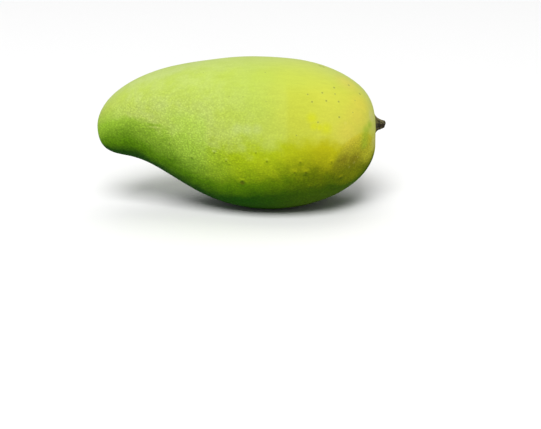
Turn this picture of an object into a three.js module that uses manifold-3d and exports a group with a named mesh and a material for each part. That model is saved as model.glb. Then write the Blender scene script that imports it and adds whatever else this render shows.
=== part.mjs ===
// A whole green mango with its short stub of stem, lying on its belly.
// Sizes are in millimetres. +X is the stem end, -X the beak and +Z the back of the fruit.
// The fruit grew as one solid with its skin, and the woody stem stub is a piece of its own.

import * as THREE from "three";
import { mergeVertices } from "three/addons/utils/BufferGeometryUtils.js";
import Module from "manifold-3d";

// Driving sizes of the fruit.
const LENGTH = 150; // beak to stem end, without the stem
const HEIGHT = 81.7; // belly to back, before the resting spot is flattened
const THICKNESS = 71; // cheek to cheek
const REST_CUT = 0.8; // how much of the belly the resting spot takes off
const END = LENGTH / 2;

// The outline seen from the side: six arcs that meet smoothly. A reach is the length of an arc's handle.
const BEAK = { z: 45.2, reachUp: 17, reachDown: 14.5 };
const BACK = { x: 5.7, reachBeak: 55.4, reachStem: 26.6 };
const SHOULDER = { x: 62.3, z: 68.9, fall: 0.71, reachBack: 11.2, reachStem: 11.7 };
const STEM_END = { z: 36.3, reachUp: 15.3, reachDown: 21.6 };
const BELLY = { x: 16.3, reachStem: 30.5, reachBeak: 36.6 };
const SINUS = { x: -57.8, z: 28.9, fall: 0.27, reachBelly: 21, reachBeak: 7.7 };

// The cross-section along the length, where 0 is the beak and 1 the stem end.
const WIDEST_ALONG = 0.62; // where the cheeks are thickest
const SLIMMING = 0.3; // how fast the section thins towards the beak
const EGG_AT_SINUS = 0.3; // how much wider the upper half is beside the sinus
const EGG_ALONG = 0.14;
const EGG_SPREAD = 0.2;
const SQUARENESS = 0.04; // fullness of the section between its four sides
const LEAN = 1.6; // sideways bend of the beak

// Gentle unevenness of the grown surface.
const SWELLS = [
  { height: 0.32, along: 2.1, round: 2, phase: 0.6 },
  { height: 0.22, along: 3.7, round: 3, phase: 2.1 },
  { height: 0.14, along: 6.3, round: 5, phase: 4.0 },
];

// The shallow basin round the stem, and the dents beside it.
const STEM_SEAT = { y: 1.5, z: 44.4 };
const BASIN = { depth: 1.6, radius: 6.5 };
const DENTS = [
  { x: 70, y: -16, z: 37, depth: 0.8, radius: 8 },
  { x: 69, y: 17, z: 40, depth: 0.6, radius: 8 },
];
const HEART = new THREE.Vector3(20, 0, HEIGHT / 2); // where the dents are pressed towards

// The flat side below the stem, with a soft ridge above it: a point on it, where it faces,
// and how soft its edge is.
const FACET_POINT = new THREE.Vector3(60.5, -27, 44.8);
const FACET_FACING = new THREE.Vector3(0.6, -0.76, -0.25).normalize();
const FACET_SOFTNESS = 0.9;

// The stem stub: distance along its axis from the fruit, and radius there.
const STEM_PROFILE = [
  [-4.2, 1.8],
  [-1.6, 1.9],
  [-1.2, 6.8],
  [0.3, 6.2],
  [0.9, 5.3],
  [1.4, 4.5],
  [2.2, 3.6],
  [3.2, 3],
  [4.3, 2.5],
  [5.5, 2.2],
  [6.2, 2.1],
  [6.6, 1.6],
];
const STEM_DISH = 0.4; // hollow of the broken-off end
const STEM_SLANT = 0.3; // how far the broken-off end leans out at its top, as a share of its radius
const STEM_DIRECTION = new THREE.Vector3(1, 0.1, -0.07).normalize();
const STEM_RIBS = [
  { count: 5, height: 0.07, phase: 0.4 },
  { count: 8, height: 0.05, phase: 1.9 },
  { count: 13, height: 0.03, phase: 3.1 },
];
const SOCKET_RADIUS = 2.5;
const SOCKET_DEPTH = 5;
const GAP = 0.3; // kept between the stem and the fruit

// Mesh steps.
const RINGS = 56;
const SIDES = 64;
const STEM_SIDES = 40;
const OUTLINE_STEPS = 240;

const wasm = await Module();
wasm.setup();

function solidOf(geometry) {
  geometry.deleteAttribute("normal");
  geometry.deleteAttribute("uv");
  const merged = mergeVertices(geometry, 1e-4);
  return new wasm.Manifold(
    new wasm.Mesh({
      numProp: 3,
      vertProperties: new Float32Array(merged.attributes.position.array),
      triVerts: new Uint32Array(merged.index.array),
    }),
  );
}

function geometryOf(solid) {
  const made = solid.getMesh();
  const geometry = new THREE.BufferGeometry();
  geometry.setAttribute("position", new THREE.BufferAttribute(made.vertProperties, made.numProp));
  geometry.setIndex(new THREE.BufferAttribute(made.triVerts, 1));
  geometry.computeVertexNormals();
  return geometry;
}

// Closes a row of rings, each with the same number of points, with a pole at either end.
function loft(first, rings, last) {
  const sides = rings[0].length;
  const points = [first, ...rings.flat(), last];
  const end = points.length - 1;
  const at = (ring, side) => 1 + ring * sides + (side % sides);
  const faces = [];
  for (let side = 0; side < sides; side++) {
    faces.push(0, at(0, side + 1), at(0, side));
    faces.push(end, at(rings.length - 1, side), at(rings.length - 1, side + 1));
    for (let ring = 0; ring < rings.length - 1; ring++) {
      const [a, b] = [at(ring, side), at(ring, side + 1)];
      const [c, d] = [at(ring + 1, side), at(ring + 1, side + 1)];
      faces.push(a, b, c, b, d, c);
    }
  }
  const geometry = new THREE.BufferGeometry().setFromPoints(points);
  geometry.setIndex(faces);
  return solidOf(geometry);
}

// The side outline from beak to stem end, over the back.
function backPath() {
  const { x, z, fall, reachBack, reachStem } = SHOULDER;
  return new THREE.Path()
    .moveTo(-END, BEAK.z)
    .bezierCurveTo(-END, BEAK.z + BEAK.reachUp, BACK.x - BACK.reachBeak, HEIGHT, BACK.x, HEIGHT)
    .bezierCurveTo(BACK.x + BACK.reachStem, HEIGHT, x - reachBack, z + fall * reachBack, x, z)
    .bezierCurveTo(x + reachStem, z - fall * reachStem, END, STEM_END.z + STEM_END.reachUp, END, STEM_END.z);
}

// The same from beak to stem end, through the sinus and along the belly.
function bellyPath() {
  const { x, z, fall, reachBelly, reachBeak } = SINUS;
  return new THREE.Path()
    .moveTo(-END, BEAK.z)
    .bezierCurveTo(-END, BEAK.z - BEAK.reachDown, x - reachBeak, z + fall * reachBeak, x, z)
    .bezierCurveTo(x + reachBelly, z - fall * reachBelly, BELLY.x - BELLY.reachBeak, 0, BELLY.x, 0)
    .bezierCurveTo(BELLY.x + BELLY.reachStem, 0, END, STEM_END.z - STEM_END.reachDown, END, STEM_END.z);
}

const outlinePoints = (path) => path.curves.flatMap((arc) => arc.getPoints(OUTLINE_STEPS));
const BACK_POINTS = outlinePoints(backPath());
const BELLY_POINTS = outlinePoints(bellyPath());

// The height of an outline at x.
function heightAt(points, x) {
  const next = Math.max(1, points.findIndex((p) => p.x >= x));
  const [a, b] = [points[next - 1], points[next]];
  return THREE.MathUtils.mapLinear(x, a.x, b.x, a.y, b.y);
}

const bell = (distance, radius) => Math.exp(-0.5 * (distance / radius) ** 2);

function swellAt(along, angle) {
  const fade = Math.sin(Math.PI * along);
  const wave = (s) => s.height * Math.sin(s.along * Math.PI * along + s.round * angle + s.phase);
  return SWELLS.reduce((sum, s) => sum + fade * wave(s), 0);
}

// Presses the basin, the dents and the facet into a point of the skin.
function pressed(point) {
  if (point.x > 0) {
    point.x -= BASIN.depth * bell(Math.hypot(point.y - STEM_SEAT.y, point.z - STEM_SEAT.z), BASIN.radius);
  }
  DENTS.forEach((dent) => {
    const near = bell(point.distanceTo(dent), dent.radius);
    point.addScaledVector(HEART.clone().sub(point).normalize(), dent.depth * near);
  });
  const proud = point.clone().sub(FACET_POINT).dot(FACET_FACING);
  return point.addScaledVector(FACET_FACING, -(proud + Math.hypot(proud, FACET_SOFTNESS)) / 2);
}

function skinRing(x) {
  const along = (x + END) / LENGTH;
  const [top, bottom] = [heightAt(BACK_POINTS, x), heightAt(BELLY_POINTS, x)];
  const half = (top - bottom) / 2;
  const thick = (THICKNESS / HEIGHT) * (1 + SLIMMING * (along - WIDEST_ALONG));
  const egg = EGG_AT_SINUS * bell(along - EGG_ALONG, EGG_SPREAD);
  return Array.from({ length: SIDES }, (_, side) => {
    const angle = (2 * Math.PI * side) / SIDES;
    const radius = half * (1 + SQUARENESS * Math.sin(2 * angle) ** 2) + swellAt(along, angle);
    const out = radius * thick * Math.cos(angle) * (1 + egg * Math.sin(angle));
    const up = radius * Math.sin(angle);
    return pressed(new THREE.Vector3(x, out + LEAN * (1 - along) ** 3, (top + bottom) / 2 + up));
  });
}

function skinSolid() {
  const stations = Array.from({ length: RINGS - 1 }, (_, i) => -END * Math.cos((Math.PI * (i + 1)) / RINGS));
  const beak = new THREE.Vector3(-END, LEAN, BEAK.z);
  const stemEnd = pressed(new THREE.Vector3(END, 0, STEM_END.z));
  return loft(beak, stations.map(skinRing), stemEnd);
}

// Rings round the stem's axis, from a list of distances and radii. They slant more towards the last distance.
function turned(profile, first, last, ribs) {
  const seatX = BACK_POINTS.findLast((p) => p.y >= STEM_SEAT.z).x - BASIN.depth;
  const seat = new THREE.Vector3(seatX, STEM_SEAT.y, STEM_SEAT.z);
  const side = new THREE.Vector3(0, 1, 0).addScaledVector(STEM_DIRECTION, -STEM_DIRECTION.y).normalize();
  const up = new THREE.Vector3().crossVectors(STEM_DIRECTION, side);
  const axisPoint = (distance) => seat.clone().addScaledVector(STEM_DIRECTION, distance);
  const rings = profile.map(([distance, radius]) =>
    Array.from({ length: STEM_SIDES }, (_, i) => {
      const angle = (2 * Math.PI * i) / STEM_SIDES;
      const rib = ribs.reduce((sum, r) => sum + r.height * Math.cos(r.count * angle + r.phase), 1);
      const slant = STEM_SLANT * radius * Math.sin(angle) * Math.max(0, distance / last) ** 4;
      return axisPoint(distance + slant)
        .addScaledVector(side, radius * rib * Math.cos(angle))
        .addScaledVector(up, radius * rib * Math.sin(angle));
    }),
  );
  return loft(axisPoint(first), rings, axisPoint(last));
}

// The fruit, with a socket for the stem's root and the flat spot that it rests on.
function fruitSolid(socketRadius) {
  const socketProfile = [
    [-SOCKET_DEPTH, socketRadius],
    [SOCKET_DEPTH, socketRadius],
  ];
  const socket = turned(socketProfile, -SOCKET_DEPTH, SOCKET_DEPTH, []);
  const floor = new THREE.BoxGeometry(2 * LENGTH, 2 * LENGTH, LENGTH);
  floor.translate(0, 0, REST_CUT - LENGTH / 2);
  return skinSolid().subtract(socket).subtract(solidOf(floor));
}

// The stem, whose foot follows the skin a gap away from it.
function stemSolid() {
  const [root] = STEM_PROFILE[0];
  const [tip] = STEM_PROFILE[STEM_PROFILE.length - 1];
  const whole = turned(STEM_PROFILE, root, tip - STEM_DISH, STEM_RIBS);
  return whole.subtract(fruitSolid(SOCKET_RADIUS - GAP).translate([GAP, 0, 0]));
}

function meshOf(name, solid, material) {
  const mesh = new THREE.Mesh(geometryOf(solid), new THREE.MeshStandardMaterial(material));
  mesh.name = name;
  return mesh;
}

const mango = new THREE.Group();
mango.add(meshOf("fruit", fruitSolid(SOCKET_RADIUS), { color: 0xb4d05a, roughness: 0.45, metalness: 0 }));
mango.add(meshOf("stem", stemSolid(), { color: 0x3f3522, roughness: 0.85, metalness: 0 }));

// The origin is on the resting surface, below the middle of the whole mango.
const bounds = new THREE.Box3().setFromObject(mango);
const middle = bounds.getCenter(new THREE.Vector3());
mango.position.set(-middle.x, -middle.y, -bounds.min.z);

export default mango;
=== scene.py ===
import math

import bpy
import numpy as np
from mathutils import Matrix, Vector, noise


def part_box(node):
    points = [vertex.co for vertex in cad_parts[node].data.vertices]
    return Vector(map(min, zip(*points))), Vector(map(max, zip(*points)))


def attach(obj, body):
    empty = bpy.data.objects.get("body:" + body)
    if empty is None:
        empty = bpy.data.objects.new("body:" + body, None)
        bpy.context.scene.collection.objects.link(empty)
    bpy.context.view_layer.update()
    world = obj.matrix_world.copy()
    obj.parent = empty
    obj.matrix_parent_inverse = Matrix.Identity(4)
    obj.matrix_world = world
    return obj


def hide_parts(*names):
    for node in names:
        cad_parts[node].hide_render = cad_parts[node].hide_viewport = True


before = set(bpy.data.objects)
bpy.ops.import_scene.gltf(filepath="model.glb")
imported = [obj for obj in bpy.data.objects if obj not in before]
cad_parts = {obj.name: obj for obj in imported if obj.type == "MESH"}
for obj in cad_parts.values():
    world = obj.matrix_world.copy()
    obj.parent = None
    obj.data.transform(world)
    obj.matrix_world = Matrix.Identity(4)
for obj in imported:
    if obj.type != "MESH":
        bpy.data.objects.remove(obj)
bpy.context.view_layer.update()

MM = 0.001

# The fruit's sizes, as in its CAD model: beak to stem end, belly to back and cheek to cheek.
LENGTH = 150
HEIGHT = 81.7
THICKNESS = 71
END = LENGTH / 2

# How much of the belly the resting spot takes off, and how soft its edge is.
REST_CUT = 0.8
REST_SOFTNESS = 0.15

# The outline seen from the side: six arcs that meet smoothly. Besides x, z and fall, each number says how
# far an arc's handle reaches towards the side named.
BEAK = {"z": 45.2, "up": 17, "down": 14.5}
BACK = {"x": 5.7, "beak": 55.4, "stem": 26.6}
SHOULDER = {"x": 62.3, "z": 68.9, "fall": 0.71, "back": 11.2, "stem": 11.7}
STEM_END = {"z": 36.3, "up": 15.3, "down": 21.6}
BELLY = {"x": 16.3, "stem": 30.5, "beak": 36.6}
SINUS = {"x": -57.8, "z": 28.9, "fall": 0.27, "belly": 21, "beak": 7.7}

# The cross-section along the length, where 0 is the beak and 1 the stem end: where the cheeks are thickest,
# how fast they thin towards the beak, how much wider the upper half is beside the sinus, and how full the
# section is between its four sides. The beak leans a little to the far side.
WIDEST_ALONG = 0.62
SLIMMING = 0.3
EGG_AT_SINUS = 0.3
EGG_ALONG = 0.14
EGG_SPREAD = 0.2
SQUARENESS = 0.04
LEAN = 1.6

# Gentle unevenness of the grown surface.
SWELLS = [
    {"height": 0.32, "along": 2.1, "round": 2, "phase": 0.6},
    {"height": 0.22, "along": 3.7, "round": 3, "phase": 2.1},
    {"height": 0.14, "along": 6.3, "round": 5, "phase": 4.0},
]

# The shallow basin round the stem, and the dents beside it, which are pressed towards the heart.
STEM_SEAT = {"y": 1.5, "z": 44.4}
BASIN = {"depth": 1.6, "radius": 6.5}
DENTS = [
    {"at": (70, -16, 37), "depth": 0.8, "radius": 8},
    {"at": (69, 17, 40), "depth": 0.6, "radius": 8},
]
HEART = np.array((20, 0, HEIGHT / 2))

# The flat side below the stem: a point on it, where it faces, and how soft its edge is.
FACET_POINT = np.array((60.5, -27, 44.8))
FACET_FACING = np.array(Vector((0.6, -0.76, -0.25)).normalized())
FACET_SOFTNESS = 0.9

# The stem: distance along its axis and radius there. The last two points are the hollow of its broken end.
STEM_PROFILE = [
    (-1.6, 6.2),
    (-0.6, 6.3),
    (0.3, 6.1),
    (0.9, 5.3),
    (1.4, 4.5),
    (2.2, 3.6),
    (3.2, 3),
    (4.3, 2.5),
    (5.5, 2.2),
    (6.2, 2.1),
    (6.6, 1.6),
    (6.45, 1.1),
    (6.2, 0.5),
]
STEM_LENGTH = 6.6
STEM_SLANT = 0.3
STEM_DIRECTION = Vector((1, 0.1, -0.07)).normalized()
STEM_RIBS = [
    {"count": 5, "height": 0.07, "phase": 0.4},
    {"count": 8, "height": 0.05, "phase": 1.9},
    {"count": 13, "height": 0.03, "phase": 3.1},
]

# Fine unevenness of the skin and of the stem's bark: how wide and how high its bumps are.
RIPPLES = [(22, 0.16), (8, 0.05), (3.4, 0.022)]
BARK = [(1.3, 0.22), (0.5, 0.12)]

# How far short of the fruit's end the mesh ends, and a length below which a normal can't be scaled to 1.
JUST_SHORT = 0.001
SMALLEST = 1e-9

# Mesh steps.
RINGS = 300
SIDES = 316
STEM_RINGS = 70
STEM_SIDES = 120
OUTLINE_STEPS = 400


def bezier(start, leave, arrive, end):
    """Points of one arc of the outline."""
    t = np.linspace(0, 1, OUTLINE_STEPS)[:, None]
    start, leave, arrive, end = (np.array(p, float) for p in (start, leave, arrive, end))
    return (1 - t) ** 3 * start + 3 * (1 - t) ** 2 * t * leave + 3 * (1 - t) * t**2 * arrive + t**3 * end


def back_outline():
    """The side outline over the back, from beak to stem end."""
    x, z, fall = SHOULDER["x"], SHOULDER["z"], SHOULDER["fall"]
    before = (x - SHOULDER["back"], z + fall * SHOULDER["back"])
    after = (x + SHOULDER["stem"], z - fall * SHOULDER["stem"])
    top = (BACK["x"], HEIGHT)
    end = (END, STEM_END["z"])
    return np.vstack([
        bezier((-END, BEAK["z"]), (-END, BEAK["z"] + BEAK["up"]), (BACK["x"] - BACK["beak"], HEIGHT), top),
        bezier(top, (BACK["x"] + BACK["stem"], HEIGHT), before, (x, z)),
        bezier((x, z), after, (END, STEM_END["z"] + STEM_END["up"]), end),
    ])


def belly_outline():
    """The side outline through the sinus and along the belly, from beak to stem end."""
    x, z, fall = SINUS["x"], SINUS["z"], SINUS["fall"]
    before = (x - SINUS["beak"], z + fall * SINUS["beak"])
    after = (x + SINUS["belly"], z - fall * SINUS["belly"])
    bottom = (BELLY["x"], 0)
    end = (END, STEM_END["z"])
    return np.vstack([
        bezier((-END, BEAK["z"]), (-END, BEAK["z"] - BEAK["down"]), before, (x, z)),
        bezier((x, z), after, (BELLY["x"] - BELLY["beak"], 0), bottom),
        bezier(bottom, (BELLY["x"] + BELLY["stem"], 0), (END, STEM_END["z"] - STEM_END["down"]), end),
    ])


BACK_LINE = back_outline()
BELLY_LINE = belly_outline()


def bell(distance, radius):
    """1 in the middle, falling smoothly to 0."""
    return np.exp(-0.5 * (distance / radius) ** 2)


def skin(x, angle):
    """Points of the skin, for places along the fruit and angles round it."""
    along = (x + END) / LENGTH
    top = np.interp(x, BACK_LINE[:, 0], BACK_LINE[:, 1])
    bottom = np.interp(x, BELLY_LINE[:, 0], BELLY_LINE[:, 1])
    thick = THICKNESS / HEIGHT * (1 + SLIMMING * (along - WIDEST_ALONG))
    egg = EGG_AT_SINUS * bell(along - EGG_ALONG, EGG_SPREAD)
    radius = (top - bottom) / 2 * (1 + SQUARENESS * np.sin(2 * angle) ** 2)
    for s in SWELLS:
        wave = np.sin(s["along"] * math.pi * along + s["round"] * angle + s["phase"])
        radius = radius + s["height"] * np.sin(math.pi * along) * wave
    out = radius * thick * np.cos(angle) * (1 + egg * np.sin(angle)) + LEAN * (1 - along) ** 3
    points = np.stack([x + 0 * angle, out, (top + bottom) / 2 + radius * np.sin(angle)], -1)
    return pressed(points)


def pressed(points):
    """Presses the stem's basin, the dents and the flat side below the stem into the skin."""
    from_seat = np.hypot(points[..., 1] - STEM_SEAT["y"], points[..., 2] - STEM_SEAT["z"])
    points[..., 0] -= np.where(points[..., 0] > 0, BASIN["depth"] * bell(from_seat, BASIN["radius"]), 0)
    for dent in DENTS:
        near = bell(np.linalg.norm(points - np.array(dent["at"]), axis=-1), dent["radius"])
        inward = HEART - points
        inward = inward / np.linalg.norm(inward, axis=-1, keepdims=True)
        points = points + inward * (dent["depth"] * near)[..., None]
    proud = (points - FACET_POINT) @ FACET_FACING
    return points - FACET_FACING * ((proud + np.hypot(proud, FACET_SOFTNESS)) / 2)[..., None]


def on_skin(x, degrees):
    """The place of a mark on the skin."""
    return tuple(skin(np.array(float(x)), np.array(math.radians(degrees))))


def outward(grid):
    """Unit normals of a grid of rings, by the differences between neighbours."""
    along = np.gradient(grid, axis=0)
    round_it = np.roll(grid, -1, axis=1) - np.roll(grid, 1, axis=1)
    normal = np.cross(round_it, along)
    return normal / np.maximum(np.linalg.norm(normal, axis=-1, keepdims=True), SMALLEST)


def rippled(grid):
    """The grid with the fine unevenness of the skin, which fades at both ends."""
    lift = np.zeros(grid.shape[:2])
    for size, height in RIPPLES:
        flat = [noise.noise(Vector(p) / size) for p in grid.reshape(-1, 3)]
        lift += height * np.array(flat).reshape(lift.shape)
    fade = np.sqrt(np.sin(np.linspace(0, math.pi, len(grid))))[:, None]
    return grid + outward(grid) * (lift * fade)[..., None]


# Marks, as (x, degrees round the fruit, radius). 0 degrees is the far cheek, 90 the back, 180 the near one.
DARK_DOTS = [
    (49.9, 124, 0.6), (43.3, 132, 0.5), (50.1, 131, 0.4), (35.6, 135, 0.4), (37.7, 141, 0.5),
    (45.2, 139, 0.5), (51.8, 138, 0.5), (58.4, 112, 0.6), (51.8, 152, 0.5), (40.5, 157, 0.4),
    (59.3, 146, 0.3), (64.2, 118, 0.6), (-17.8, 115, 0.25), (14.2, 117, 0.3), (-4.9, 140, 0.25),
    (2.2, 140, 0.25), (13.9, 143, 0.25), (29.3, 167, 0.3), (60.9, 132, 0.3), (44.2, 88, 0.8),
    (46, 88, 0.7),
]
STAINS = [(37.4, 154, 2.4), (38.5, 160, 1.9), (44.7, 162, 2.7), (41.5, 161, 1.6)]
BLUSH = [(58, 108, 6), (64, 135, 6), (62, 150, 7), (57, 165, 6.5)]
GREEN_PATCH = [(69, 157, 1.9), (67.2, 164, 2.4), (66.9, 170, 2.6), (67.2, 177, 2.6), (67.6, 185, 2.4)]
# A painted reflection of the pale surroundings on the rim by the stem end.
PALE_RIM_REFLECTION = [(73, 190, 3.6), (70.6, 141, 2.6)]
# Painted reflected light along the lower rim by the stem end.
RIM_REFLECTED_LIGHT = [(70, 205, 4), (71.5, 196, 3)]
# A pale streak of painted highlight on the near cheek, in the bloom's colour.
HIGHLIGHT_STREAK = [(-1, 164, 2.4), (4, 164, 2.4), (9, 163, 2.2)]
BRUISE = [(55.9, 193, 2.6), (62.5, 199, 3)]
FLECKS = [(62.6, 204, 0.7), (59.7, 206, 0.6), (55.1, 157, 0.8), (64.5, 199, 0.5)]

# Raised specks, as (x, degrees round the fruit, radius, height), and how much of each one is dark.
SPECKS = [
    (-12.9, 186, 0.7, 0.16), (-24.6, 197, 0.8, 0.16), (-6.9, 191, 0.7, 0.14), (14.2, 187, 0.8, 0.2),
    (8.5, 181, 0.6, 0.12), (-36.2, 210, 0.7, 0.14), (-36.2, 191, 0.7, 0.12), (31.4, 188, 0.8, 0.2),
    (47.8, 191, 0.7, 0.16), (34.4, 197, 1.1, 0.24), (28.6, 196, 0.7, 0.16), (54.2, 212, 0.8, 0.16),
    (37.1, 211, 0.8, 0.14),
]
SPECK_TOP = 0.7

# A healed scar with a raised rim round its pit, and a faint crease.
SCAR = {"at": (1.5, 207), "radius": 1.3, "height": 0.22, "rim": 0.5, "pit": 0.6}
CREASE = {"ends": ((-46.5, 175), (-40.5, 174)), "depth": 0.08, "width": 0.5}


def from_line(grid, start, end):
    """How far the points of a grid are from the line between two marks."""
    start, end = np.array(on_skin(*start)), np.array(on_skin(*end))
    share = np.clip((grid - start) @ (end - start) / np.sum((end - start) ** 2), 0, 1)
    return np.linalg.norm(grid - (start + share[..., None] * (end - start)), axis=-1)


def marked_relief(grid):
    """The grid with the raised specks, the scar and the crease of the real skin."""
    lift = np.zeros(grid.shape[:2])
    for x, degrees, radius, height in SPECKS:
        lift += height * bell(np.linalg.norm(grid - on_skin(x, degrees), axis=-1), radius)
    from_scar = np.linalg.norm(grid - on_skin(*SCAR["at"]), axis=-1)
    rim = bell(from_scar - SCAR["radius"], SCAR["rim"])
    lift += SCAR["height"] * (rim - bell(from_scar, SCAR["pit"]))
    lift -= CREASE["depth"] * bell(from_line(grid, *CREASE["ends"]), CREASE["width"])
    return grid + outward(grid) * lift[..., None]


def rested(grid):
    """The grid with its belly flattened where it lies."""
    depth = grid[..., 2] - REST_CUT
    grid[..., 2] = REST_CUT + (depth + np.sqrt(depth**2 + REST_SOFTNESS**2)) / 2
    return grid


def closed_mesh(name, grid, first, last):
    """A mesh from rings of points, closed by a point at either end. Points are in millimetres."""
    rings, sides = grid.shape[:2]
    points = np.vstack([[first], grid.reshape(-1, 3), [last]]) * MM
    faces = []
    for side in range(sides):
        after = (side + 1) % sides
        faces.append((0, 1 + after, 1 + side))
        faces.append((len(points) - 1, 1 + (rings - 1) * sides + side, 1 + (rings - 1) * sides + after))
        for ring in range(rings - 1):
            low, high = 1 + ring * sides, 1 + (ring + 1) * sides
            faces.append((low + side, low + after, high + after, high + side))
    mesh = bpy.data.meshes.new(name)
    mesh.from_pydata(points.tolist(), [], faces)
    mesh.shade_smooth()
    piece = bpy.data.objects.new(name, mesh)
    bpy.context.scene.collection.objects.link(piece)
    return piece


# The smooth skin as rings of points, and where the fruit's own frame lies in the model's frame.
ALL_ROUND = np.linspace(0, 2 * math.pi, SIDES, endpoint=False)
STATIONS = -END * np.cos(np.linspace(0, math.pi, RINGS + 1)[1:-1])
BARE_SKIN = skin(STATIONS[:, None], ALL_ROUND[None, :])
LOW_CORNER = np.array([-END, BARE_SKIN[..., 1].min(), REST_CUT])
SHIFT = np.array(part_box("fruit")[0]) / MM - LOW_CORNER


def make_fruit():
    """The fruit's skin, finer than the CAD solid that it stands for."""
    grid = rested(marked_relief(rippled(BARE_SKIN)))
    beak = np.array((-END, LEAN, BEAK["z"]))
    stem_end = skin(np.array(END - JUST_SHORT), np.array(0.0))
    piece = closed_mesh("fruit_skin", grid + SHIFT, beak + SHIFT, stem_end + SHIFT)
    piece.data.materials.append(skin_material())
    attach(piece, "root")
    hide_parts("fruit")


def stem_axes():
    """The middle of the stem's foot, and the two directions across its axis."""
    over = BACK_LINE[BACK_LINE[:, 1] >= STEM_SEAT["z"]][-1, 0]
    seat = Vector((over - BASIN["depth"], STEM_SEAT["y"], STEM_SEAT["z"]))
    side = (Vector((0, 1, 0)) - STEM_DIRECTION * STEM_DIRECTION.y).normalized()
    return seat, side, STEM_DIRECTION.cross(side)


def stem_ring(distance, radius):
    """One ribbed ring round the stem's axis. It slants more towards the broken end."""
    seat, side, up = stem_axes()
    ring = []
    for angle in np.linspace(0, 2 * math.pi, STEM_SIDES, endpoint=False):
        rib = 1 + sum(r["height"] * math.cos(r["count"] * angle + r["phase"]) for r in STEM_RIBS)
        spoke = side * math.cos(angle) + up * math.sin(angle)
        slant = STEM_SLANT * radius * math.sin(angle) * max(0, distance / STEM_LENGTH) ** 4
        point = seat + STEM_DIRECTION * (distance + slant) + spoke * radius * rib
        bark = sum(height * noise.noise(point / size) for size, height in BARK)
        ring.append(tuple(point + spoke * bark))
    return ring


def make_stem():
    """The ribbed stub of stem with its flared foot and its broken end."""
    seat, _, _ = stem_axes()
    steps = np.linspace(0, len(STEM_PROFILE) - 1, STEM_RINGS)
    knots = np.arange(len(STEM_PROFILE))
    distances = np.interp(steps, knots, [distance for distance, _ in STEM_PROFILE])
    radii = np.interp(steps, knots, [radius for _, radius in STEM_PROFILE])
    grid = np.array([stem_ring(distance, radius) for distance, radius in zip(distances, radii)])
    foot, tip = (np.array(seat + STEM_DIRECTION * distance) for distance in (distances[0], distances[-1]))
    piece = closed_mesh("stem_stub", grid + SHIFT, foot + SHIFT, tip + SHIFT)
    piece.data.materials.append(stem_material())
    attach(piece, "root")
    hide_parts("stem")


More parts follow.
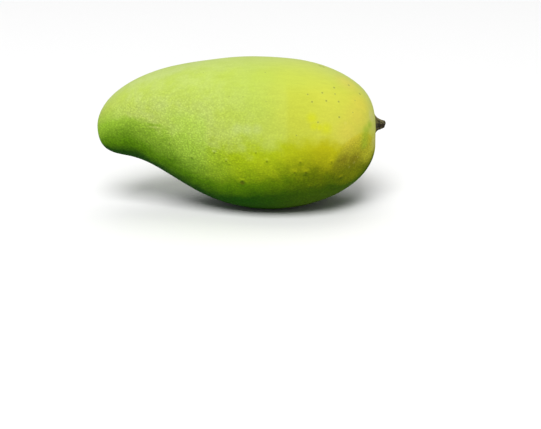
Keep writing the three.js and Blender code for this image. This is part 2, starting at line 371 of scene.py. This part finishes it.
class Graph:
    """Adds nodes to one material, a step at a time, and holds what is measured at the shaded point."""

    def __init__(self, name):
        self.material = bpy.data.materials.new(name)
        self.material.use_nodes = True
        self.tree = self.material.node_tree
        self.shader = self.tree.nodes["Principled BSDF"]
        place = self.add("ShaderNodeTexCoord").outputs["Object"]
        self.point = self.vector("SUBTRACT", self.scaled(place, 1 / MM), tuple(SHIFT))
        facing = self.add("ShaderNodeTexCoord").outputs["Normal"]
        self.measures = dict(zip(("x", "y", "z"), self.split(self.point)))
        self.measures.update(zip(("stemward", "away", "up"), self.split(facing)))

    def add(self, kind, inputs=(), **settings):
        """A new node, with its settings and its first inputs."""
        made = self.tree.nodes.new(kind)
        for name, value in settings.items():
            setattr(made, name, value)
        for place, value in enumerate(inputs):
            self.feed(made.inputs[place], value)
        return made

    def feed(self, socket, value):
        """Links a socket to an input, or sets the input to a plain value."""
        if isinstance(value, bpy.types.NodeSocket):
            self.tree.links.new(value, socket)
        else:
            socket.default_value = value

    def measured(self, *names):
        """Some of the measures, by name."""
        return [self.measures[name] for name in names]

    def math(self, operation, *values):
        return self.add("ShaderNodeMath", values, operation=operation).outputs[0]

    def vector(self, operation, *values):
        made = self.add("ShaderNodeVectorMath", values, operation=operation)
        return made.outputs["Value" if operation in ("DISTANCE", "DOT_PRODUCT") else "Vector"]

    def split(self, vector):
        """The three parts of a vector."""
        return self.add("ShaderNodeSeparateXYZ", (vector,)).outputs

    def scaled(self, vector, scale):
        made = self.add("ShaderNodeVectorMath", (vector,), operation="SCALE")
        self.feed(made.inputs["Scale"], scale)
        return made.outputs["Vector"]

    def distance_along(self, start, direction):
        """How far the shaded point lies from a start in a direction."""
        offset = self.vector("SUBTRACT", self.point, tuple(start))
        return self.vector("DOT_PRODUCT", offset, tuple(direction))

    def joined(self, operation, values):
        """Values joined by an operation, one after the other."""
        result, *others = values
        for value in others:
            result = self.math(operation, result, value)
        return result

    def times(self, *values):
        return self.joined("MULTIPLY", values)

    def raised(self, value, share, amount):
        """The value plus a share of an amount."""
        return self.math("MULTIPLY_ADD", share, amount, value)

    def between(self, share, first, second):
        """A number that goes from the first to the second as the share goes from 0 to 1."""
        return self.raised(first, share, second - first)

    def wandering(self, value, blotches, reach):
        """The value, shifted by blotches of noise to either side by up to half the reach."""
        return self.raised(self.math("SUBTRACT", value, reach / 2), blotches, reach)

    def slope(self, value, low, high):
        """0 at low and 1 at high, smoothly, and flat outside."""
        made = self.add("ShaderNodeMapRange", (value, low, high), interpolation_type="SMOOTHSTEP")
        return made.outputs[0]

    def band(self, value, limits):
        """0 to 1 between the first two limits, and back to 0 between the last two if there are four."""
        if len(limits) == 2:
            return self.slope(value, *limits)
        begins, full, fades, ends = limits
        return self.times(self.slope(value, begins, full), self.slope(value, ends, fades))

    def region(self, limits):
        """1 in a region, given by the limits of some measures, and 0 outside."""
        return self.times(*(self.band(self.measures[name], span) for name, span in limits.items()))

    def shifted(self, value, shifts):
        """The value with an amount added for each set of regions, in full where any of them is."""
        for regions, amount in shifts:
            inside = self.joined("MAXIMUM", [self.region(limits) for limits in regions])
            value = self.raised(value, inside, amount)
        return value

    def mix(self, amount, first, second):
        """The first colour, with an amount of the second. Inputs 6 and 7 of the node are its colours."""
        made = self.add("ShaderNodeMix", data_type="RGBA")
        self.feed(made.inputs["Factor"], amount)
        self.feed(made.inputs[6], first)
        self.feed(made.inputs[7], second)
        return made.outputs[2]

    def tinted(self, colour, tint):
        """The colour, covered by another one in a region."""
        return self.mix(self.times(self.region(tint["region"]), tint["cover"]), colour, tint["colour"])

    def noise(self, point, size, detail, roughness):
        """Noise from about 0 to 1, with blotches of a size in millimetres."""
        made = self.add("ShaderNodeTexNoise")
        self.feed(made.inputs["Vector"], point)
        made.inputs["Scale"].default_value = 1 / size
        made.inputs["Detail"].default_value = detail
        made.inputs["Roughness"].default_value = roughness
        return made.outputs["Fac"]

    def cells(self, point, size):
        """Distance from the nearest of scattered points, and a number of its own for each point."""
        made = self.add("ShaderNodeTexVoronoi")
        self.feed(made.inputs["Vector"], point)
        made.inputs["Scale"].default_value = 1 / size
        number = self.add("ShaderNodeSeparateColor", (made.outputs["Color"],)).outputs[0]
        return self.times(made.outputs["Distance"], size), number

    def bump(self, height, depth):
        """A normal for relief of a depth in millimetres."""
        made = self.add("ShaderNodeBump")
        made.inputs["Strength"].default_value = 1
        made.inputs["Distance"].default_value = depth * MM
        self.feed(made.inputs["Height"], height)
        return made.outputs[0]


def shade(red, green, blue):
    """A colour given as 0 to 255 on a screen, in the linear light that shaders use."""
    return tuple(((c / 255 + 0.055) / 1.055) ** 2.4 for c in (red, green, blue)) + (1,)


# The skin's colours at the beak, in the middle and at the stem end: under bloom, where the bloom is rubbed
# off and painted shade begins, where the side turns down, and underneath, these two mostly painted shade.
LIGHT = (shade(174, 194, 82), shade(175, 194, 77), shade(196, 199, 70))
RUBBED_AND_SHADED = (shade(149, 184, 56), shade(163, 184, 22), shade(179, 177, 18))
DEEP_SHADED = (shade(84, 128, 6), shade(84, 124, 3), shade(96, 112, 4))
UNDER_SHADED = (shade(26, 66, 1), shade(30, 76, 1), shade(62, 90, 3))
# The bloom's pale colour, which also stands for painted sheen and a painted highlight.
BLOOM_AND_SHEEN = shade(190, 204, 136)

# Where along x the colours turn from the beak's to the middle's and from there to the stem end's, how far
# those places wander, how much the top faces up, and how much of the turn to the stem end's is left there.
TO_MIDDLE = (-30, 2)
TO_STEM = (2, 48)
STAGE_WANDER = 24
TOP_FACING = (0.6, 0.95)
TOP_TURN = 0.6

# Noise on the skin and the bark: its size in millimetres, its detail and its roughness.
BROAD = (26, 3, 0.55)
BLOTCH = (8, 4, 0.6)
ROUGH = (0.7, 1, 0.5)
STREAK = (1.6, 2, 0.5)
FLAKE = (0.7, 3, 0.6)

# Level says how far the skin faces up. On the end that faces the stem's way, height takes its place: how
# many spans the point lies above a middle, with broad noise added.
END_FACING = (0.55, 0.9)
LEVEL_MIDDLE = 57.6
LEVEL_SPAN = 36

# Lowered is up, made a little less from a third of the way along.
LOWERED = {"x": (-30, -20), "by": -0.1}

# Regions of the skin, by the limits of measures: x, y and z in millimetres, stemward, away and up for how
# far the surface faces those ways, and level, lowered and blotch. Two limits are where a region begins and
# where it is full, and four are where it begins, is full, fades and ends.
# The crown and the stem end's blotches carry the bloom colour with painted reflection in it.
CROWN = {"away": (-0.55, 0.35), "up": (0.2, 0.7)}
BEAK_BLOTCHES = {"blotch": (0.3, 0.7), "x": (-72, -56, -40, 30)}
END_SHEEN_BLOTCHES = {"stemward": (0.6, 0.95), "blotch": (0, 0.8), "level": (-0.2, 0.3)}
BEAK_HALF = {"x": (-66, -40, -14, 12)}
PAST_MIDDLE = {"x": (12, 30)}
STEM_THIRD = {"x": (44, 60)}
HANDLED = {"x": (-19, -15, -2, 10), "up": (-0.08, -0.26)}
BEAK_SIDE = {"x": (-62, -42, -14, 8)}
WAIST = {"x": (-38, -27, -18, -6), "lowered": (-0.6, -0.25)}
FULL_SIDE = {"x": (5, 30, 38, 50)}
BELOW_STEM = {"x": (30, 50), "up": (-0.16, -0.34)}
BELOW_FACET = {"x": (40, 52), "up": (-0.35, -0.55)}

# How thick the bloom colour lies, by region: real bloom, and painted reflection on the crown and the stem
# end.
BLOOM_AND_SHEEN_COVER = [([CROWN], 0.6), ([BEAK_BLOTCHES], 0.3), ([END_SHEEN_BLOTCHES], 0.4)]

# Where on the side each colour begins and is full, by level, which blotches shift to either side. A region
# with a number above zero keeps the colour before for longer, and one below zero gives it up sooner.
# The rubbed, deep and under colours bring in painted shade as the level falls.
RUBBED_AND_SHADE_SHIFTS = [([BEAK_HALF], 0.19), ([PAST_MIDDLE], -0.06), ([STEM_THIRD], 0.13), ([HANDLED], -0.13)]
DEEP_SHADE_SHIFTS = [([BEAK_SIDE], 0.09), ([WAIST], 0.13), ([FULL_SIDE, BELOW_STEM], -0.1), ([BELOW_FACET], -0.07)]
MOTTLING = 0.24
RUBBED_AND_SHADE_LEVEL = (0.13, -0.05)
DEEP_SHADE_LEVEL = (-0.02, -0.42)
UNDER_SHADE_LEVEL = (-0.36, -0.64)

# Regions with a colour of their own, and how much of it covers the skin.
GOLDEN_CHEEK = {
    "region": {"x": (23, 26.5, 32, 50), "up": (0.85, 0.6), "y": (10, -10)},
    "cover": 0.3,
    "colour": shade(178, 184, 34),
}
BEAK_TIP = {
    "region": {"x": (-54, -74), "up": (0.6, 0)},
    "cover": 0.7,
    "colour": shade(140, 184, 44),
}
UNRUBBED_SIDE = {
    "region": {"x": (-46, -28, -19, -14.5), "up": (-0.42, -0.15, 0, 0.3)},
    "cover": 0.6,
    "colour": shade(168, 201, 72),
}


def measure_skin(graph):
    """Adds what the skin's colours follow besides the place and where it faces."""
    x, z, stemward, up = graph.measured("x", "z", "stemward", "up")
    broad = graph.noise(graph.point, *BROAD)
    blotch = graph.noise(graph.point, *BLOTCH)
    by_height = graph.math("MULTIPLY_ADD", z, 1 / LEVEL_SPAN, -LEVEL_MIDDLE / LEVEL_SPAN)
    by_height = graph.math("ADD", by_height, broad)
    level = graph.raised(up, graph.slope(stemward, *END_FACING), graph.math("SUBTRACT", by_height, up))
    lowered = graph.raised(up, graph.slope(x, *LOWERED["x"]), LOWERED["by"])
    stage = graph.wandering(x, broad, STAGE_WANDER)
    to_middle = graph.slope(stage, *TO_MIDDLE)
    to_stem = graph.times(
        graph.slope(stage, *TO_STEM),
        graph.between(graph.slope(up, *TOP_FACING), 1, TOP_TURN),
    )
    graph.measures.update(blotch=blotch, level=level, lowered=lowered, to_middle=to_middle, to_stem=to_stem)


def along(graph, colours):
    """A colour that turns from the beak's to the middle's, and from there to the stem end's."""
    to_middle, to_stem = graph.measured("to_middle", "to_stem")
    at_beak, in_middle, at_stem = colours
    return graph.mix(to_stem, graph.mix(to_middle, at_beak, in_middle), at_stem)


def green_skin(graph):
    """The skin from its bloomed top, with painted sheen, to its underside, dark with painted shade, without
    the flat side and the marks.
    """
    level, blotch = graph.measured("level", "blotch")
    mottled = graph.wandering(level, blotch, MOTTLING)
    rubbing_and_shade = graph.shifted(mottled, RUBBED_AND_SHADE_SHIFTS)
    shade_level = graph.shifted(mottled, DEEP_SHADE_SHIFTS)
    # Pale bloom, with painted reflection on the crown and round the stem end.
    colour = graph.mix(graph.shifted(0, BLOOM_AND_SHEEN_COVER), along(graph, LIGHT), BLOOM_AND_SHEEN)
    colour = graph.tinted(colour, GOLDEN_CHEEK)
    # Painted shade from here on: the colour darkens as the side turns down and underneath.
    colour = graph.mix(graph.slope(rubbing_and_shade, *RUBBED_AND_SHADE_LEVEL), colour, along(graph, RUBBED_AND_SHADED))
    colour = graph.tinted(colour, BEAK_TIP)
    colour = graph.tinted(colour, UNRUBBED_SIDE)
    colour = graph.mix(graph.slope(shade_level, *DEEP_SHADE_LEVEL), colour, along(graph, DEEP_SHADED))
    return graph.mix(graph.slope(shade_level, *UNDER_SHADE_LEVEL), colour, along(graph, UNDER_SHADED))


# The flat side's colour, from its foot to its top: olive, with painted shade darkening it towards its foot.
# The heights between which it changes wander by blotches, and they lie a little higher on the beak's side.
# It shows where the skin is within a short distance of its plane, and above some height.
FACET_SHADED_FOOT = shade(108, 114, 5)
FACET_TOP = shade(220, 212, 56)
FACET_HEIGHTS = (20, 56)
FACET_WANDER = 8
FACET_BEAKWARD = {"x": (60, 50), "by": -3}
FACET_EDGE = (-1.2, -0.2)
FACET_ABOVE = (22, 34)


def with_flat_side(graph, colour):
    """The colour with the olive flat side below the stem, darker towards its foot with painted shade."""
    x, z, blotch = graph.measured("x", "z", "blotch")
    height = graph.wandering(z, blotch, FACET_WANDER)
    height = graph.raised(height, graph.slope(x, *FACET_BEAKWARD["x"]), FACET_BEAKWARD["by"])
    olive = graph.mix(graph.slope(height, *FACET_HEIGHTS), FACET_SHADED_FOOT, FACET_TOP)
    proud = graph.distance_along(FACET_POINT, FACET_FACING)
    shown = graph.times(graph.slope(proud, *FACET_EDGE), graph.slope(z, *FACET_ABOVE))
    return graph.mix(shown, colour, olive)


# Marks in the order in which they lie over each other: where they are, how soft their edge is as a share of
# their radius, and their colour, with how much of it covers the skin.
SCAR_PLACE = SCAR["at"] + (SCAR["radius"],)
SPECK_TOPS = [(x, degrees, SPECK_TOP * radius) for x, degrees, radius, _ in SPECKS]
MARKS = [
    {"at": BLUSH, "soft": 0.9, "cover": 0.3, "colour": shade(224, 196, 84)},
    {"at": GREEN_PATCH, "soft": 0.9, "cover": 0.62, "colour": shade(148, 180, 44)},
    # Painted reflection on the rim.
    {"at": PALE_RIM_REFLECTION, "soft": 0.7, "cover": 0.6, "colour": shade(200, 198, 122)},
    # Painted highlight.
    {"at": HIGHLIGHT_STREAK, "soft": 0.9, "cover": 0.3, "colour": BLOOM_AND_SHEEN},
    {"at": STAINS, "soft": 0.8, "cover": 0.6, "colour": shade(200, 204, 14)},
    # Painted reflected light on the lower rim.
    {"at": RIM_REFLECTED_LIGHT, "soft": 0.8, "cover": 0.55, "colour": shade(190, 192, 50)},
    {"at": BRUISE, "soft": 0.8, "cover": 0.35, "colour": shade(92, 76, 8)},
    {"at": FLECKS, "soft": 0.8, "cover": 0.15, "colour": shade(214, 206, 120)},
    {"at": DARK_DOTS, "soft": 1.2, "cover": 0.3, "colour": BLOOM_AND_SHEEN},
    {"at": DARK_DOTS, "soft": 0.5, "cover": 0.6, "colour": shade(112, 116, 24)},
    {"at": [SCAR_PLACE], "soft": 0.5, "cover": 0.6, "colour": shade(74, 74, 20)},
    {"at": SPECK_TOPS, "soft": 0.7, "cover": 0.5, "colour": shade(62, 70, 8)},
]


def marked(graph, colour, marks):
    """The colour with one kind of round marks on it."""
    dots = []
    for x, degrees, radius in marks["at"]:
        distance = graph.vector("DISTANCE", graph.point, on_skin(x, degrees))
        edge = marks["soft"] * radius
        dots.append(graph.slope(distance, radius + edge, radius - edge))
    cover = graph.times(graph.joined("MAXIMUM", dots), marks["cover"])
    return graph.mix(cover, colour, marks["colour"])


# Small corky dots scattered over the far cheek, which has no marks of its own. They are stronger towards
# the stem, and some of them are left out.
LENTICELS = {
    "region": {"y": (-8, 6), "x": (-50, 45)},
    "spacing": 6.5,
    "edge": (0.6, 0.3),
    "left_out": 0.45,
    "cover": 0.55,
    "colour": shade(96, 100, 20),
}


def with_lenticels(graph, colour):
    """The colour with the scattered corky dots."""
    distance, number = graph.cells(graph.point, LENTICELS["spacing"])
    dots = graph.times(
        graph.slope(distance, *LENTICELS["edge"]),
        graph.math("GREATER_THAN", number, LENTICELS["left_out"]),
        graph.region(LENTICELS["region"]),
        LENTICELS["cover"],
    )
    return graph.mix(dots, colour, LENTICELS["colour"])


# The fine grain of the skin, a little longer along the fruit than round it: rounded pebbles on rougher
# noise, and how much each counts. The contrast is what it does to the colour, and the depth is that of its
# relief.
PEBBLES = {"stretch": (0.75, 1, 1), "size": 1, "edge": (0.65, 0.1), "height": 0.3}
ROUGH_HEIGHT = 0.72
GRAIN_CONTRAST = 0.7
GRAIN_DEPTH = 0.14

# How strongly the grain shows at the beak and the stem end, what is left of that on top, and how much is
# added on sides that face down, at the middle and the stem end.
GRAIN_ALONG = {"x": (-30, 50), "beak": 0.94, "stem": 0.2}
GRAIN_TOP = {"up": (0.2, 0.85), "left": 0.3}
GRAIN_BELOW = {"up": (0.1, -0.3), "x": (0, 45), "middle": 0.6, "stem": 1.05}

# Fine streaks along the fruit, and how much they lighten and darken it.
STREAK_STRETCH = (0.16, 1, 1)
STREAK_CONTRAST = 0.16

# The skin is a little glossy on top and dull underneath.
SKIN_ROUGHNESS = {"up": (0.3, -0.3), "top": 0.55, "under": 0.95}
SKIN_SPECULAR = 0.06


def skin_grain(graph):
    """The fine pebbling of the skin, from about -0.5 to 0.5, as strong as it shows at each place."""
    x, up = graph.measured("x", "up")
    stretched = graph.vector("MULTIPLY", graph.point, PEBBLES["stretch"])
    distance, _ = graph.cells(stretched, PEBBLES["size"])
    rough = graph.math("MULTIPLY_ADD", graph.noise(stretched, *ROUGH), ROUGH_HEIGHT, -0.5)
    grain = graph.raised(rough, graph.slope(distance, *PEBBLES["edge"]), PEBBLES["height"])
    top = graph.between(graph.slope(up, *GRAIN_TOP["up"]), 1, GRAIN_TOP["left"])
    side = graph.between(graph.slope(x, *GRAIN_ALONG["x"]), GRAIN_ALONG["beak"], GRAIN_ALONG["stem"])
    below = graph.between(graph.slope(x, *GRAIN_BELOW["x"]), GRAIN_BELOW["middle"], GRAIN_BELOW["stem"])
    strength = graph.raised(graph.times(top, side), graph.slope(up, *GRAIN_BELOW["up"]), below)
    return graph.times(grain, strength)


def grained(graph, colour, grain):
    """The colour, lighter and darker by the grain and by fine streaks."""
    streaks = graph.noise(graph.vector("MULTIPLY", graph.point, STREAK_STRETCH), *STREAK)
    lightness = graph.raised(1 - STREAK_CONTRAST / 2, grain, GRAIN_CONTRAST)
    return graph.scaled(colour, graph.raised(lightness, streaks, STREAK_CONTRAST))


def skin_material():
    """Green skin under a pale bloom with painted sheen, yellower towards the stem, with painted shade where
    it faces down.
    """
    graph = Graph("mango skin")
    measure_skin(graph)
    colour = with_flat_side(graph, green_skin(graph))
    for marks in MARKS:
        colour = marked(graph, colour, marks)
    colour = with_lenticels(graph, colour)
    grain = skin_grain(graph)
    under = graph.slope(graph.measures["up"], *SKIN_ROUGHNESS["up"])
    roughness = graph.between(under, SKIN_ROUGHNESS["top"], SKIN_ROUGHNESS["under"])
    graph.feed(graph.shader.inputs["Base Color"], grained(graph, colour, grain))
    graph.feed(graph.shader.inputs["Roughness"], roughness)
    graph.feed(graph.shader.inputs["Normal"], graph.bump(grain, GRAIN_DEPTH))
    graph.shader.inputs["Specular IOR Level"].default_value = SKIN_SPECULAR
    return graph.material


# The bark: its flakes, drawn out along the stem, their two colours and their relief, and what lies over
# them:
# painted light on top, olive round the foot with painted shade where it faces down, and a dark broken end.
# Out is the distance along the stem.
BARK_STRETCH = (0.4, 1, 1)
BARK_COLOURS = (shade(16, 10, 2), shade(52, 42, 18))
BARK_CHANGE = (0.42, 0.62)
BARK_DEPTH = 0.2
BARK_TINTS = [
    # Painted light on the top of the stem.
    {"region": {"up": (0.1, 0.8), "flakes": (0.3, 0.6)}, "cover": 0.6, "colour": shade(148, 142, 98)},
    # The foot's olive, which gives way to painted shade where the foot faces down.
    {"region": {"out": (2.6, 0.6), "up": (-0.5, 0.4)}, "cover": 0.6, "colour": shade(130, 124, 62)},
    {"region": {"out": (4.4, 6.2)}, "cover": 0.6, "colour": shade(30, 26, 18)},
]
BARK_ROUGHNESS = 0.75
BARK_SPECULAR = 0.25


def stem_material():
    """Dry bark: nearly black below and at the broken end, olive grey on top with painted light, olive round
    the foot.
    """
    graph = Graph("mango stem")
    seat, _, _ = stem_axes()
    flakes = graph.noise(graph.vector("MULTIPLY", graph.point, BARK_STRETCH), *FLAKE)
    graph.measures.update(flakes=flakes, out=graph.distance_along(seat, STEM_DIRECTION))
    colour = graph.mix(graph.slope(flakes, *BARK_CHANGE), *BARK_COLOURS)
    for tint in BARK_TINTS:
        colour = graph.tinted(colour, tint)
    graph.feed(graph.shader.inputs["Base Color"], colour)
    graph.feed(graph.shader.inputs["Normal"], graph.bump(flakes, BARK_DEPTH))
    graph.shader.inputs["Roughness"].default_value = BARK_ROUGHNESS
    graph.shader.inputs["Specular IOR Level"].default_value = BARK_SPECULAR
    return graph.material


# The studio, in metres and watts: a pale floor, two square soft lights and an even pale surrounding.
FLOOR = {"size": 30, "colour": (0.86, 0.86, 0.86, 1), "roughness": 0.9, "specular": 0.1}
LIT_POINT = Vector((0, 0, 0.04))
LIGHTS = [
    {"name": "key", "place": (-0.56, -2.72, 4.2), "size": 2.8, "power": 258},
    {"name": "top", "place": (0.3, 1.8, 5.2), "size": 4.4, "power": 102},
]
SURROUNDING = {"Color": (1, 1, 1, 1), "Strength": 0.2}


def make_floor():
    """The plain pale surface the fruit lies on."""
    bpy.ops.mesh.primitive_plane_add(size=FLOOR["size"])
    floor = bpy.context.object
    floor.name = "floor"
    material = bpy.data.materials.new("floor")
    material.use_nodes = True
    shader = material.node_tree.nodes["Principled BSDF"]
    shader.inputs["Base Color"].default_value = FLOOR["colour"]
    shader.inputs["Roughness"].default_value = FLOOR["roughness"]
    shader.inputs["Specular IOR Level"].default_value = FLOOR["specular"]
    floor.data.materials.append(material)


def make_light(name, place, size, power):
    """A square soft light that shines on the fruit."""
    light = bpy.data.lights.new(name, "AREA")
    light.size = size
    light.energy = power
    holder = bpy.data.objects.new(name, light)
    holder.location = place
    holder.rotation_euler = (LIT_POINT - Vector(place)).to_track_quat("-Z", "Y").to_euler()
    bpy.context.scene.collection.objects.link(holder)


def make_studio():
    """The floor, the lights and the pale surrounding."""
    make_floor()
    for light in LIGHTS:
        make_light(**light)
    world = bpy.data.worlds.new("studio")
    world.use_nodes = True
    for name, value in SURROUNDING.items():
        world.node_tree.nodes["Background"].inputs[name].default_value = value
    bpy.context.scene.world = world
    bpy.context.scene.view_settings.view_transform = "Standard"


# The camera looks from the side and a little above, with its middle below the fruit's, as in the
# photograph.
CAMERA_AZIMUTH = math.radians(-3)
CAMERA_ELEVATION = math.radians(20)
CAMERA_DISTANCE = 0.705
CAMERA_TARGET = Vector((0.015, 0, -0.0067))
CAMERA_LENS = 85


def make_camera():
    """The camera, aimed at its target."""
    camera = bpy.data.objects.new("camera", bpy.data.cameras.new("camera"))
    camera.data.lens = CAMERA_LENS
    level = math.cos(CAMERA_ELEVATION)
    away = Vector((
        math.sin(CAMERA_AZIMUTH) * level,
        -math.cos(CAMERA_AZIMUTH) * level,
        math.sin(CAMERA_ELEVATION),
    ))
    camera.location = CAMERA_TARGET + away * CAMERA_DISTANCE
    camera.rotation_euler = (-away).to_track_quat("-Z", "Y").to_euler()
    bpy.context.scene.collection.objects.link(camera)
    bpy.context.scene.camera = camera


make_camera()
make_studio()
make_fruit()
make_stem()
